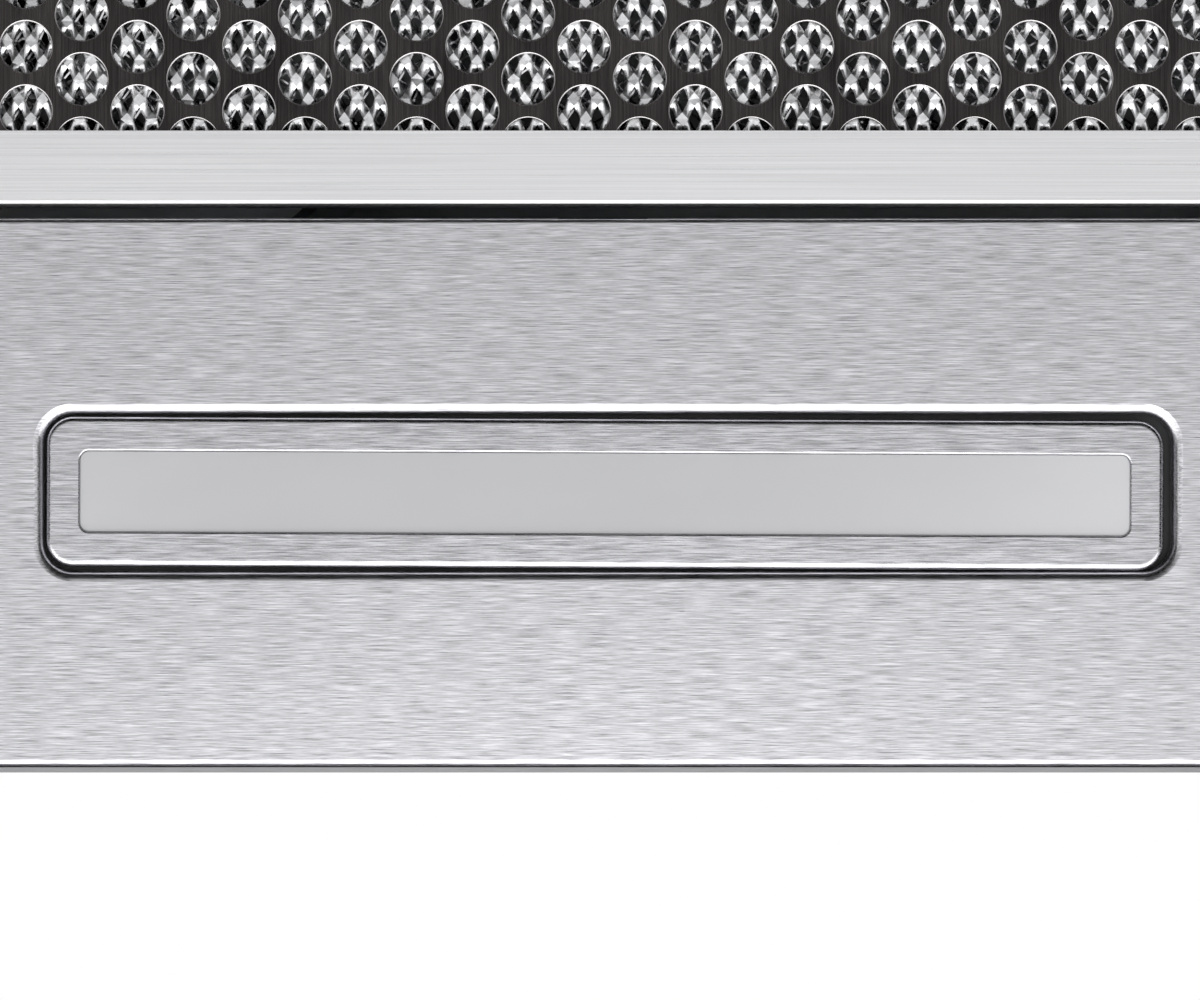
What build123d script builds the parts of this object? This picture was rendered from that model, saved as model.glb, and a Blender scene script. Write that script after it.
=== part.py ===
"""Under-cabinet range hood, 759 mm wide.

Folded stainless canopy, LED lamp strips, mesh filters, blower and damper.

Millimetres. The origin is the centre of the four mounting slots on the upper face of the top panel.
+X is to the right as seen from the front, +Y points back to the wall and +Z points up.
"""

from build123d import *
import math
import os

os.makedirs("parts", exist_ok=True)

# ---- Canopy ----
WIDTH = 759.0
DEPTH = 500.0
HEIGHT = 140.0
SHEET = 0.8
HALF_W = WIDTH / 2
FRONT = -DEPTH / 2
BACK = DEPTH / 2
FLOOR = -HEIGHT
FRONT_IN = FRONT + SHEET
BACK_IN = BACK - SHEET
SIDE_IN = HALF_W - SHEET
PANEL_REAR = -164.0
PANEL_TOP = FLOOR + SHEET
LEDGE_X = 352.0
RAIL_FRONT = 220.0
RAIL_TOP = -128.0
CENTRE_RAIL_W = 24.0
SLOT_X = 300.0
SLOT_Y = 150.0
SLOT_W = 6.0
SLOT_L = 20.0

# ---- Lamps ----
LAMP_X = 182.0
LAMP_Y = -206.6
CUTOUT = (175.1, 24.4)
CUTOUT_R = 4.6
CUTOUT_BEND = 1.6
BEZEL = (173.4, 23.3)
BEZEL_R = 4.2
BEZEL_Z = FLOOR + 0.3
WINDOW = (163.0, 12.6)
WINDOW_R = 1.5
LAMP_SEATS = {"left": (0.47, -0.14, 0.24), "right": (-0.25, 0.1, -0.12)}

# ---- Filters ----
FILTER_X = 182.0
FILTER_W = 336.0
FILTER_L = 380.0
FILTER_H = 10.0
FILTER_FRONT = -161.9
FILTER_Y = FILTER_FRONT + FILTER_L / 2
FLANGE = 11.4
HOLE_R = 4.0
PITCH = 10.0
COLUMN = PITCH * math.cos(math.radians(30))
FIRST_COLUMN = 3.72
FIRST_ROW = FILTER_FRONT + FLANGE + 3.07
NOTCH_X = 0.8
TONGUES = (-120.0, 120.0)
TONGUE_Y = -164.0
TONGUE_Z = -136.2
MESH_LAYERS = 4
MESH_STEP = 1.8

# ---- Duct outlet ----
DUCT_Y = 150.0
DUCT_R = 75.0
DUCT_TOP = 45.0
COLLAR_STEP = 1.2
STEP_R = DUCT_R + 1.5
FLAP_Z = 14.0
PIN_R = 1.5
BOX_X = 135.0
BOX_FRONT = 64.0
BOX_FLOOR = -105.0
REAR_W = 254.0
REAR_H = 82.5
REAR_Z = -57.0

# ---- Blower ----
FAN_X = -60.0
FAN_Y = -60.0
SCROLL_TOP = -14.0
SCROLL_WALL_TOP = SCROLL_TOP - SHEET
SCROLL_WALL_FLOOR = -94.0
SCROLL_R = 112.0
SCROLL_STEP = 16.0
OUTLET_X = FAN_X + SCROLL_R * 0.5
NOSE_R = 7.0
WHEEL_R = 100.0
WHEEL_IN = 82.0
WHEEL_TOP = -24.0
WHEEL_FLOOR = -86.0
BLADES = 36
INLET_R = 78.0
SHAFT_R = 4.0
MOTOR_R = 44.0
MOTOR_FLOOR = -60.0

# ---- Controls ----
CONTROL_Z = -105.0
BUTTON_PITCH = 28.0
BUTTON_R = 5.0
TRIM_W = 158.0
CASE_X = TRIM_W / 2 - 1
TRAVEL = 3.0


def block(x0, x1, y0, y1, z0, z1):
    return Pos((x0 + x1) / 2, (y0 + y1) / 2, (z0 + z1) / 2) * Box(x1 - x0, y1 - y0, z1 - z0)


def post(x, y, z0, z1, r):
    return Pos(x, y, (z0 + z1) / 2) * Cylinder(r, z1 - z0)


def tube(x, y, z0, z1, r_out, r_in):
    return post(x, y, z0, z1, r_out) - post(x, y, z0 - 1, z1 + 1, r_in)


def rod_y(x, z, y0, y1, r):
    return Pos(x, (y0 + y1) / 2, z) * Rot(90, 0, 0) * Cylinder(r, y1 - y0)


def rod_x(y, z, x0, x1, r):
    return Pos((x0 + x1) / 2, y, z) * Rot(0, 90, 0) * Cylinder(r, x1 - x0)


def pad(x, y, z0, z1, length, width, r):
    """A plate with rounded corners, its length along X."""
    return extrude(Pos(x, y, z0) * RectangleRounded(length, width, r), z1 - z0)


def strip(line, thickness, side):
    """The section of a sheet: a line thickened to one side."""
    return make_face(offset(line, amount=thickness, side=side, closed=True).edges())


def fold_x(points, radii, x0, x1, side=Side.LEFT):
    """A sheet folded along X; the points are Y and Z of its outer skin."""
    section = strip(FilletPolyline(points, radius=radii), SHEET, side)
    return Pos(x0, 0, 0) * extrude(Plane.YZ * section, x1 - x0)


def fold_y(points, radii, y0, y1, side=Side.LEFT):
    """A sheet folded along Y; the points are X and Z of its outer skin."""
    section = strip(FilletPolyline(points, radius=radii), SHEET, side)
    return Pos(0, y1, 0) * extrude(Plane.XZ * section, y1 - y0)


def edges_of(shape, test):
    return ShapeList([e for e in shape.edges() if test(e.bounding_box())])


def hexagon(x, y, z0, z1, r):
    return extrude(Pos(x, y, z0) * RegularPolygon(r, 6), z1 - z0)


def pan_screw(x, y, z, length, r=2.0, up=True):
    """A pan-head screw whose head bears on the level z; its shank goes up or down."""
    s = 1 if up else -1
    head = post(x, y, min(z, z - 2 * s), max(z, z - 2 * s), 2 * r)
    shank = post(x, y, min(z, z + length * s), max(z, z + length * s), r)
    z_slot = z - 2 * s
    slot = block(x - 1.6 * r, x + 1.6 * r, y - 0.4, y + 0.4, min(z_slot, z_slot + s), max(z_slot, z_slot + s))
    return head + shank - slot


def save(name, shape):
    solids = shape.solids() if hasattr(shape, "solids") else [s for p in shape for s in p.solids()]
    body = solids[0] if len(solids) == 1 else Compound(children=list(solids))
    export_step(body, f"parts/{name}.step")
    print(name, len(solids), round(sum(s.volume for s in solids)))


# ---------------------------------------------------------------- canopy


def canopy_wrap():
    """Front apron and both sides, folded from one sheet, with a return ledge under each side."""
    line = FilletPolyline(
        [(-HALF_W, BACK), (-HALF_W, FRONT), (HALF_W, FRONT), (HALF_W, BACK)], radius=2.0
    )
    wall = extrude(Pos(0, 0, FLOOR) * strip(line, SHEET, Side.LEFT), HEIGHT - SHEET)
    ledge_y = PANEL_REAR + 0.5
    for s in (-1, 1):
        a, b = sorted((s * (SIDE_IN - 1), s * (HALF_W + 1)))
        wall -= block(a, b, ledge_y, BACK + 1, FLOOR - 1, FLOOR + 10)
        points = [(s * HALF_W, FLOOR + 10), (s * HALF_W, FLOOR), (s * LEDGE_X, FLOOR)]
        wall += fold_y(points, [1.6], ledge_y, BACK_IN, Side.RIGHT if s > 0 else Side.LEFT)
        x0, x1 = sorted((s * SIDE_IN, s * HALF_W))
        wall += block(x0, x1, BACK_IN, BACK, FLOOR, FLOOR + 10)
    return wall - extrude(Plane.XZ * Pos(0, CONTROL_Z, -FRONT - 5) * RectangleRounded(TRIM_W - 10, 20, 3), 10)


def top_panel():
    """Top sheet with a down-turned flange on all four sides."""
    plate = pad(0, 0, -SHEET, 0, WIDTH, DEPTH, 2.0)
    x, y = SIDE_IN, BACK_IN
    skirt = pad(0, 0, -14, -SHEET, 2 * x, 2 * y, 1.2)
    skirt -= block(-x + SHEET, x - SHEET, -y + SHEET, y - SHEET, -15, 0)
    panel = plate + skirt
    panel -= post(0, DUCT_Y, -2, 1, STEP_R + 0.3)
    for sx in (-1, 1):
        for sy in (-1, 1):
            slot = SlotOverall(SLOT_L, SLOT_W)
            panel -= extrude(Pos(sx * SLOT_X, sy * SLOT_Y, -2) * slot, 4)
    return panel - post(CLAMP_X, CLAMP_Y, -2, 1, 11.0)


def back_panel():
    """Rear sheet with side flanges and the rectangular knock-out opening."""
    panel = block(-SIDE_IN, SIDE_IN, BACK_IN, BACK, FLOOR + 0.1, -SHEET)
    for s in (-1, 1):
        x0, x1 = sorted((s * (SIDE_IN - SHEET), s * SIDE_IN))
        panel += block(x0, x1, BACK_IN - 12, BACK_IN, FLOOR + 12, -15)
    low, high = REAR_Z - REAR_H / 2, REAR_Z + REAR_H / 2
    return panel - block(-REAR_W / 2, REAR_W / 2, BACK - 3, BACK + 3, low, high)


def light_panel():
    """Front underside: upturned at the apron and behind, with lamp cut-outs, notches and tongue slots."""
    points = [
        (FRONT_IN, FLOOR + 15),
        (FRONT_IN, FLOOR),
        (PANEL_REAR, FLOOR),
        (PANEL_REAR, FLOOR + 10.8),
    ]
    panel = fold_x(points, [1.2, 0.9], -SIDE_IN + 0.1, SIDE_IN - 0.1)
    for s in (-1, 1):
        x = s * LAMP_X
        panel += pad(x, LAMP_Y, FLOOR, FLOOR + 3.4, CUTOUT[0] + 1.6, CUTOUT[1] + 1.6, CUTOUT_R + 0.8)
        panel -= pad(x, LAMP_Y, FLOOR - 1, FLOOR + 5, *CUTOUT, CUTOUT_R)
        for offset in (NOTCH_X, *TONGUES):
            slot_x = s * FILTER_X + offset
            low = FLOOR + (0.3 if offset == NOTCH_X else 0.5)
            panel -= block(slot_x - 7, slot_x + 7, PANEL_REAR - 2, PANEL_REAR + 1, low, FLOOR + 7)

    def rim(grow, z):
        def test(b):
            near = abs(b.center().Y - LAMP_Y) < CUTOUT[1] / 2 + grow + 0.1
            inside = abs(abs(b.center().X) - LAMP_X) < CUTOUT[0] / 2 + grow + 0.1
            return near and inside and abs(b.min.Z - z) < 1e-4 and abs(b.max.Z - z) < 1e-4

        return test

    panel = fillet(edges_of(panel, rim(0, FLOOR)), CUTOUT_BEND)
    return fillet(edges_of(panel, rim(SHEET, PANEL_TOP)), CUTOUT_BEND - SHEET)


def rear_rail():
    """Channel along the back that the filter latches hook into."""
    points = [(RAIL_FRONT, RAIL_TOP), (RAIL_FRONT, FLOOR), (BACK_IN, FLOOR), (BACK_IN, RAIL_TOP)]
    rail = fold_x(points, [1.2, 1.2], -LEDGE_X + 0.1, LEDGE_X - 0.1)
    for s in (-1, 1):
        rail -= block(s * FILTER_X - 16, s * FILTER_X + 16, RAIL_FRONT - 1, RAIL_FRONT + 2, -138.3, -131.4)
    return rail


def centre_rail():
    """Channel between the two filters."""
    x = CENTRE_RAIL_W / 2
    top = FLOOR + 10.6
    points = [(-x, top), (-x, FLOOR), (x, FLOOR), (x, top)]
    return fold_y(points, [1.2, 1.2], PANEL_REAR, RAIL_FRONT, Side.LEFT)


def rear_cover():
    """Plate that closes the unused rectangular outlet from the inside."""
    low, high = REAR_Z - REAR_H / 2 - 4, REAR_Z + REAR_H / 2
    plate = block(-BOX_X + 1, BOX_X - 1, BACK_IN - SHEET, BACK_IN, low, high)
    plug = block(-REAR_W / 2 + 0.4, REAR_W / 2 - 0.4, BACK_IN - SHEET, BACK - 0.1, REAR_Z - REAR_H / 2 + 0.4,
                 REAR_Z + REAR_H / 2 - 0.4)
    hollow = block(-REAR_W / 2 + 1.2, REAR_W / 2 - 1.2, BACK_IN - 2, BACK - 0.9, REAR_Z - REAR_H / 2 + 1.2,
                   REAR_Z + REAR_H / 2 - 1.2)
    return plate + plug - hollow


def rear_cover_screws():
    screws = []
    for x in (-131, 131):
        for z in (REAR_Z - 30, REAR_Z + 30):
            head = rod_y(x, z, BACK_IN - SHEET - 1.6, BACK_IN - SHEET, 2.6)
            screws.append(head)
    return screws


# ---------------------------------------------------------------- duct outlet


def outlet_box():
    """Air box between the blower outlet, the round collar above and the rear opening."""
    x, y0, y1, z0, z1 = BOX_X, BOX_FRONT, BACK_IN - SHEET, BOX_FLOOR, -SHEET
    box = block(-x, x, y0, y1, z0, z1) - block(-x + SHEET, x - SHEET, y0 + SHEET, y1 + 5, z0 + SHEET, z1 + 5)
    mouth_end = FAN_X + SCROLL_R + 3 * SCROLL_STEP
    box -= block(OUTLET_X, mouth_end, y0 - 1, y0 + 2, SCROLL_WALL_FLOOR, SCROLL_WALL_TOP)
    for s in (-1, 1):
        x0, x1 = sorted((s * (x - SHEET), s * (x + 12)))
        box += block(x0, x1, y0, y1 - 14, z1 - SHEET, z1)
        box += block(x0, x1, y1 - SHEET, y1, z0 + 8, z1 - 16)
    return box


def duct_collar():
    """Round collar: flange under the top sheet, step that stops the duct, bead that stops the flaps."""
    collar = tube(0, DUCT_Y, -1.6, DUCT_TOP, DUCT_R, DUCT_R - SHEET)
    collar += tube(0, DUCT_Y, -1.6, COLLAR_STEP, STEP_R, DUCT_R - SHEET)
    collar += tube(0, DUCT_Y, -1.6, -SHEET, DUCT_R + 9, DUCT_R - SHEET)
    z = FLAP_Z - 3.9
    bead = make_face(Polyline((DUCT_R - 0.7, z - 1.6), (DUCT_R - 2.6, z - 0.2), (DUCT_R - 2.6, z + 0.2),
                              (DUCT_R - 0.7, z + 0.8), close=True))
    collar += Pos(0, DUCT_Y, 0) * revolve(Plane.XZ * bead, Axis.Z)
    collar = collar.solid() if hasattr(collar, "solid") else collar
    return collar - rod_x(DUCT_Y, FLAP_Z, -DUCT_R - 2, DUCT_R + 2, PIN_R)


def damper_pin():
    pin = rod_x(DUCT_Y, FLAP_Z, -DUCT_R, DUCT_R, PIN_R)
    return pin & post(0, DUCT_Y, FLAP_Z - 5, FLAP_Z + 5, DUCT_R)


def damper_flap(s):
    """Half disc that hangs on the pin; s is the side of the pin it covers."""
    z = FLAP_Z - 2.7
    disc = post(0, DUCT_Y, z, z + 0.8, DUCT_R - 1.7)
    keep = block(-90, 90, *sorted((DUCT_Y + s * 3.3, DUCT_Y + s * 90)), z - 5, z + 5)
    flap = disc & keep
    for x in (-62, -14, 34) if s > 0 else (-34, 14, 62):
        knuckle = rod_x(DUCT_Y, FLAP_Z, x - 8, x + 8, 2.7)
        web = block(x - 8, x + 8, *sorted((DUCT_Y, DUCT_Y + s * 4)), z, z + 0.8)
        flap = flap + knuckle + web
    return flap - rod_x(DUCT_Y, FLAP_Z, -90, 90, PIN_R + 0.05)


# ---------------------------------------------------------------- blower


def scroll_line():
    """The inside of the scroll wall: from the outlet box, round the tongue and the spiral, and back."""
    x_nose = OUTLET_X - NOSE_R
    y_nose = FAN_Y + math.sqrt((SCROLL_R + NOSE_R) ** 2 - (x_nose - FAN_X) ** 2)
    start = math.degrees(math.atan2(y_nose - FAN_Y, x_nose - FAN_X))
    r1, r2, r3 = SCROLL_R, SCROLL_R + SCROLL_STEP, SCROLL_R + 2 * SCROLL_STEP
    c2 = (FAN_X + SCROLL_STEP, FAN_Y)
    c3 = (FAN_X + SCROLL_STEP, FAN_Y + SCROLL_STEP)
    right = c3[0] + r3
    return Curve() + [
        Line((OUTLET_X, BOX_FRONT), (OUTLET_X, y_nose)),
        CenterArc((x_nose, y_nose), NOSE_R, 0, start - 180),
        CenterArc((FAN_X, FAN_Y), r1, start, 180 - start),
        CenterArc(c2, r2, 180, 90),
        CenterArc(c3, r3, 270, 90),
        Line((right, c3[1]), (right, BOX_FRONT)),
    ]


def scroll_wall():
    wire = Wire(scroll_line().edges())
    section = strip(wire, SHEET, Side.RIGHT)
    return extrude(Pos(0, 0, SCROLL_WALL_FLOOR) * section, SCROLL_WALL_TOP - SCROLL_WALL_FLOOR)


def scroll_face():
    right = FAN_X + SCROLL_R + 3 * SCROLL_STEP
    face = make_face(scroll_line().edges() + [Line((right, BOX_FRONT), (OUTLET_X, BOX_FRONT)).edge()])
    grown = offset(face, amount=5)
    return grown & (Pos(0, BOX_FRONT - 200) * Rectangle(600, 400))


EARS = [
    (FAN_X - 124, FAN_Y),
    (FAN_X - 44, FAN_Y - 127),
    (FAN_X + 125.6, FAN_Y - 93.6),
    (FAN_X - 70.6, FAN_Y + 100.8),
    (FAN_X + 171, FAN_Y + 78),
]
MOTOR_BOLTS = [
    (FAN_X + 33 * math.cos(math.radians(a)), FAN_Y + 33 * math.sin(math.radians(a))) for a in (90, 210, 330)
]


def scroll_top():
    plate = extrude(Pos(0, 0, SCROLL_WALL_TOP) * scroll_face(), SHEET)
    for x, y in EARS:
        plate += post(x, y, SCROLL_WALL_TOP, SCROLL_TOP, 9)
    for x, y in EARS:
        plate -= post(x, y, -20, -10, 2.6)
    for x, y in MOTOR_BOLTS:
        plate -= post(x, y, -20, -10, 2.1)
    return plate - post(FAN_X, FAN_Y, -20, -10, 12)


def scroll_bottom():
    plate = extrude(Pos(0, 0, SCROLL_WALL_FLOOR - SHEET) * scroll_face(), SHEET)
    return plate - post(FAN_X, FAN_Y, -100, -90, INLET_R + 8)


def inlet_ring():
    """Bell mouth that guides the air into the wheel."""
    z = SCROLL_WALL_FLOOR - SHEET
    skin = Spline((INLET_R, z + 6), (INLET_R + 1.6, z + 2.5), (INLET_R + 7, z))
    section = make_face(
        [skin.edge(), Line((INLET_R + 7, z), (INLET_R + 16, z)).edge(),
         Line((INLET_R + 16, z), (INLET_R + 16, z - 1.2)).edge(),
         Line((INLET_R + 16, z - 1.2), (INLET_R + 6, z - 1.2)).edge(),
         Spline((INLET_R + 6, z - 1.2), (INLET_R + 0.4, z + 1.6), (INLET_R - 1.2, z + 6)).edge(),
         Line((INLET_R - 1.2, z + 6), (INLET_R, z + 6)).edge()]
    )
    return Pos(FAN_X, FAN_Y, 0) * revolve(Plane.XZ * section, Axis.Z)


def inlet_guard():
    """Flat finger guard: flat rings joined by four spokes, riveted to the bell mouth."""
    z = SCROLL_WALL_FLOOR - SHEET - 1.2
    guard = tube(FAN_X, FAN_Y, z - 1.6, z, INLET_R + 14, INLET_R + 8)
    for r in (14, 26, 38, 50, 62, 74):
        guard += tube(FAN_X, FAN_Y, z - 1.6, z, r + 1, r - 1)
    for angle in range(0, 180, 45):
        guard += Pos(FAN_X, FAN_Y, z - 0.8) * Rot(0, 0, angle + 20) * Box(2 * INLET_R + 18, 3, 1.6)
    return guard


def blower_mountings():
    """Welded studs, each with a spacer tube and a nut."""
    pieces = []
    for x, y in EARS:
        pieces.append(post(x, y, -22, -SHEET, 2.5))
        pieces.append(tube(x, y, SCROLL_TOP, -SHEET, 6, 2.5))
        nut = hexagon(x, y, SCROLL_WALL_TOP - 4, SCROLL_WALL_TOP, 4.6) - post(x, y, -20, -10, 2.5)
        pieces.append(nut)
    return pieces


def fan_wheel():
    """Forward-curved wheel: dished hub, 36 blades and an end ring."""
    t = 1.2
    top, bottom = WHEEL_TOP, -70.0
    section = make_face(Polyline(
        (WHEEL_R - 1, top), (54, top), (50, bottom + 4), (46, bottom), (10, bottom), (10, bottom - 12),
        (SHAFT_R, bottom - 12), (SHAFT_R, bottom + 6), (10, bottom + 6), (10, bottom + t), (45, bottom + t),
        (48.6, bottom + 5), (52.6, top + t), (WHEEL_R - 1, top + t), close=True))
    hub = revolve(Plane.XZ * section, Axis.Z)
    ring = tube(0, 0, WHEEL_FLOOR, WHEEL_FLOOR + 1.6, WHEEL_R, WHEEL_IN)
    arc = ThreePointArc((WHEEL_IN + 0.4, 0), (WHEEL_IN + 9.2, 2.2), (WHEEL_R - 1.4, 9.6))
    blade = extrude(strip(arc, 0.8, Side.LEFT), top - WHEEL_FLOOR - 1.0 + t / 2)
    blades = [Rot(0, 0, i * 360 / BLADES) * Pos(0, 0, WHEEL_FLOOR + 1.0) * blade for i in range(BLADES)]
    wheel = Part() + [hub, ring] + blades
    return Pos(FAN_X, FAN_Y, 0) * wheel


def wheel_nut():
    return hexagon(FAN_X, FAN_Y, -88.5, -82, 7.5) - post(FAN_X, FAN_Y, -95, -75, SHAFT_R)


def motor_can():
    """Drawn steel motor shell that hangs under the scroll's top sheet."""
    can = post(FAN_X, FAN_Y, MOTOR_FLOOR, SCROLL_WALL_TOP, MOTOR_R)
    can -= post(FAN_X, FAN_Y, MOTOR_FLOOR - 1, SCROLL_WALL_TOP - 1.5, MOTOR_R - 1)
    for x, y in MOTOR_BOLTS:
        can -= post(x, y, -18, -10, 2.1)
    can -= post(FAN_X, FAN_Y, -18, -10, 9)
    for i in range(12):
        vent = Pos(FAN_X, FAN_Y, -26) * Rot(0, 0, i * 30) * Pos(MOTOR_R, 0, 0) * Box(6, 5, 12)
        can -= vent
    return can


def motor_end_cap():
    cap = post(FAN_X, FAN_Y, MOTOR_FLOOR, MOTOR_FLOOR + 1.5, MOTOR_R - 1)
    cap += post(FAN_X, FAN_Y, MOTOR_FLOOR, MOTOR_FLOOR + 9, 11)
    return cap - post(FAN_X, FAN_Y, MOTOR_FLOOR - 1, MOTOR_FLOOR + 10, 8)


def motor_bearings():
    low = tube(FAN_X, FAN_Y, MOTOR_FLOOR, MOTOR_FLOOR + 9, 8, SHAFT_R + 0.03)
    high = tube(FAN_X, FAN_Y, -24, SCROLL_WALL_TOP, 9, SHAFT_R + 0.03)
    return [low, high]


def motor_stator():
    core = tube(FAN_X, FAN_Y, -50, -28, MOTOR_R - 1, 34)
    for i in range(12):
        tooth = Pos(FAN_X, FAN_Y, -39) * Rot(0, 0, i * 30) * Pos(29, 0, 0) * Box(12, 6, 22)
        core += tooth
    return core - post(FAN_X, FAN_Y, -52, -26, 24)


def motor_windings():
    coils = []
    for i in range(12):
        coil = Box(7.4, 10.6, 30) - Box(20, 6, 22)
        coils.append(Pos(FAN_X, FAN_Y, -39) * Rot(0, 0, i * 30) * Pos(29.6, 0, 0) * coil)
    return coils


def motor_rotor():
    return tube(FAN_X, FAN_Y, -50, -28, 23.5, SHAFT_R)


def motor_shaft():
    return post(FAN_X, FAN_Y, -91, -16, SHAFT_R)


def motor_screws():
    return [pan_screw(x, y, SCROLL_TOP, 6, 2.0, up=False) for x, y in MOTOR_BOLTS]


def capacitor():
    return rod_x(-20, -17, 175, 225, 14) + rod_x(-20, -17, 225, 229, 10)


def capacitor_clamp():
    ring = rod_x(-20, -17, 193, 207, 15) - rod_x(-20, -17, 190, 210, 14)
    foot = block(193, 207, -44, 4, -SHEET - 1.2, -SHEET) + block(193, 207, -24, -16, -2.5, -SHEET)
    return ring + (foot - rod_x(-20, -17, 190, 210, 14))


# ---------------------------------------------------------------- wiring

CLAMP_X = 300.0
CLAMP_Y = 60.0
WIRE_BOX = (255.0, 345.0, 20.0, 110.0)
WIRE_FLOOR = -46.0


def wiring_box():
    x0, x1, y0, y1 = WIRE_BOX
    box = block(x0, x1, y0, y1, WIRE_FLOOR, -SHEET) - block(
        x0 + SHEET, x1 - SHEET, y0 + SHEET, y1 - SHEET, WIRE_FLOOR - 1, 1)
    for y in (y0 + 10, y1 - 10):
        box += block(x0, x0 + 8, y - 5, y + 5, WIRE_FLOOR, WIRE_FLOOR + 1.2)
        box += block(x1 - 8, x1, y - 5, y + 5, WIRE_FLOOR, WIRE_FLOOR + 1.2)
    box -= block(x0 - 1, x0 + 2, 60, 76, -40, -30)
    return box


def wiring_cover():
    x0, x1, y0, y1 = WIRE_BOX
    return block(x0 - 0.9, x1 + 0.9, y0 - 0.9, y1 + 0.9, WIRE_FLOOR - SHEET, WIRE_FLOOR + 8) - block(
        x0 - 0.1, x1 + 0.1, y0 - 0.1, y1 + 0.1, WIRE_FLOOR, WIRE_FLOOR + 9) - block(
        x0 - 3, x0 + 2, 56, 80, -45, -30)


def wiring_screws():
    x0, x1, y0, y1 = WIRE_BOX
    screws = []
    for x in (x0 + 4.5, x1 - 4.5):
        for y in (y0 + 10, y1 - 10):
            screws.append(post(x, y, WIRE_FLOOR - SHEET - 1.8, WIRE_FLOOR - SHEET, 3.4))
    return screws


def terminal_block():
    """Three-way screw terminal for supply, neutral and earth."""
    block_ = block(268, 310, 28, 46, -18, -SHEET)
    for x in (275, 289, 303):
        block_ -= post(x, 37, -20, -12, 3.2)
        block_ -= rod_y(x, -7, 20, 60, 2.4)
    return block_


def cable_clamp():
    """Strain relief for the supply cable, fixed under the top sheet with its bore open upward."""
    body = tube(CLAMP_X, CLAMP_Y, -22, -SHEET, 14, 8) + tube(CLAMP_X, CLAMP_Y, -SHEET, -0.2, 10.9, 8)
    body += block(CLAMP_X - 20, CLAMP_X - 12, CLAMP_Y - 6, CLAMP_Y + 6, -20, -8)
    body += block(CLAMP_X + 12, CLAMP_X + 20, CLAMP_Y - 6, CLAMP_Y + 6, -20, -8)
    return body - post(CLAMP_X, CLAMP_Y, -30, 1, 8)


def led_driver():
    """Sealed driver case with mounting ears and a terminal step at each end."""
    case = block(170, 310, -110, -66, -29, -SHEET)
    case = fillet(edges_of(case, lambda b: b.size.Z > 20), 2.5)
    case += block(160, 320, -98, -78, -SHEET - 3, -SHEET)
    case -= block(169, 186, -106, -70, -30, -18) + block(294, 311, -106, -70, -30, -18)
    return case


# ---------------------------------------------------------------- controls

BUTTONS = [("fan_low", -2), ("fan_mid", -1), ("fan_high", 0), ("fan_off", 1), ("light", 2)]


def control_bezel():
    """Trim plate on the apron; its boss fills the window and carries the buttons."""
    plate = extrude(Plane.XZ * Pos(0, CONTROL_Z, -FRONT) * RectangleRounded(TRIM_W, 30, 4), 2)
    plate = fillet(edges_of(plate, lambda b: b.max.Y < FRONT - 1.9), 0.8)
    outline = RectangleRounded(TRIM_W - 10.6, 19.4, 2.7)
    boss = extrude(Plane.XZ * Pos(0, CONTROL_Z, -FRONT - 2.8) * outline, 2.8)
    bezel = plate + boss
    for _, i in BUTTONS:
        bezel -= rod_y(i * BUTTON_PITCH, CONTROL_Z, FRONT - 5, FRONT + 5, BUTTON_R + 0.3)
    return bezel


def button(i):
    x = i * BUTTON_PITCH
    cap = rod_y(x, CONTROL_Z, FRONT - 4, FRONT + 2.9, BUTTON_R)
    cap = fillet(edges_of(cap, lambda b: b.max.Y < FRONT - 3.9), 0.7)
    cap += rod_y(x, CONTROL_Z, FRONT + 2.9, FRONT + 4.4, 6.5)
    return cap + rod_y(x, CONTROL_Z, FRONT + 4.4, FRONT + 10.6, 3)


def control_housing():
    """Plastic case behind the apron."""
    outer = block(-CASE_X, CASE_X, FRONT_IN, FRONT + 28, CONTROL_Z - 14, CONTROL_Z + 14)
    inner = block(-CASE_X + 1.5, CASE_X - 1.5, FRONT_IN - 1, FRONT + 26.5, CONTROL_Z - 12.5, CONTROL_Z + 12.5)
    case = outer - inner
    for x in (-CASE_X + 6, CASE_X - 6):
        case += block(x - 2, x + 2, FRONT + 19.6, FRONT + 27, CONTROL_Z - 13, CONTROL_Z + 13)
    return case - block(-8, 8, FRONT + 25, FRONT + 30, CONTROL_Z + 2, CONTROL_Z + 9)


def control_board():
    """Circuit board with one push switch behind each button."""
    board = block(-CASE_X + 3, CASE_X - 3, FRONT + 18, FRONT + 19.6, CONTROL_Z - 11.5, CONTROL_Z + 11.5)
    for _, i in BUTTONS:
        x = i * BUTTON_PITCH
        board += block(x - 3, x + 3, FRONT + 14.5, FRONT + 18, CONTROL_Z - 3, CONTROL_Z + 3)
        board += rod_y(x, CONTROL_Z, FRONT + 13.8, FRONT + 14.5, 1.7)
    return board + block(40, 54, FRONT + 19.6, FRONT + 24, CONTROL_Z + 2, CONTROL_Z + 8)


# ---------------------------------------------------------------- lamps


def at_lamp(side, shape):
    dx, dy, turn = LAMP_SEATS[side]
    x = -LAMP_X if side == "left" else LAMP_X
    return Pos(x + dx, LAMP_Y + dy, 0) * Rot(0, 0, turn) * shape


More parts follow.
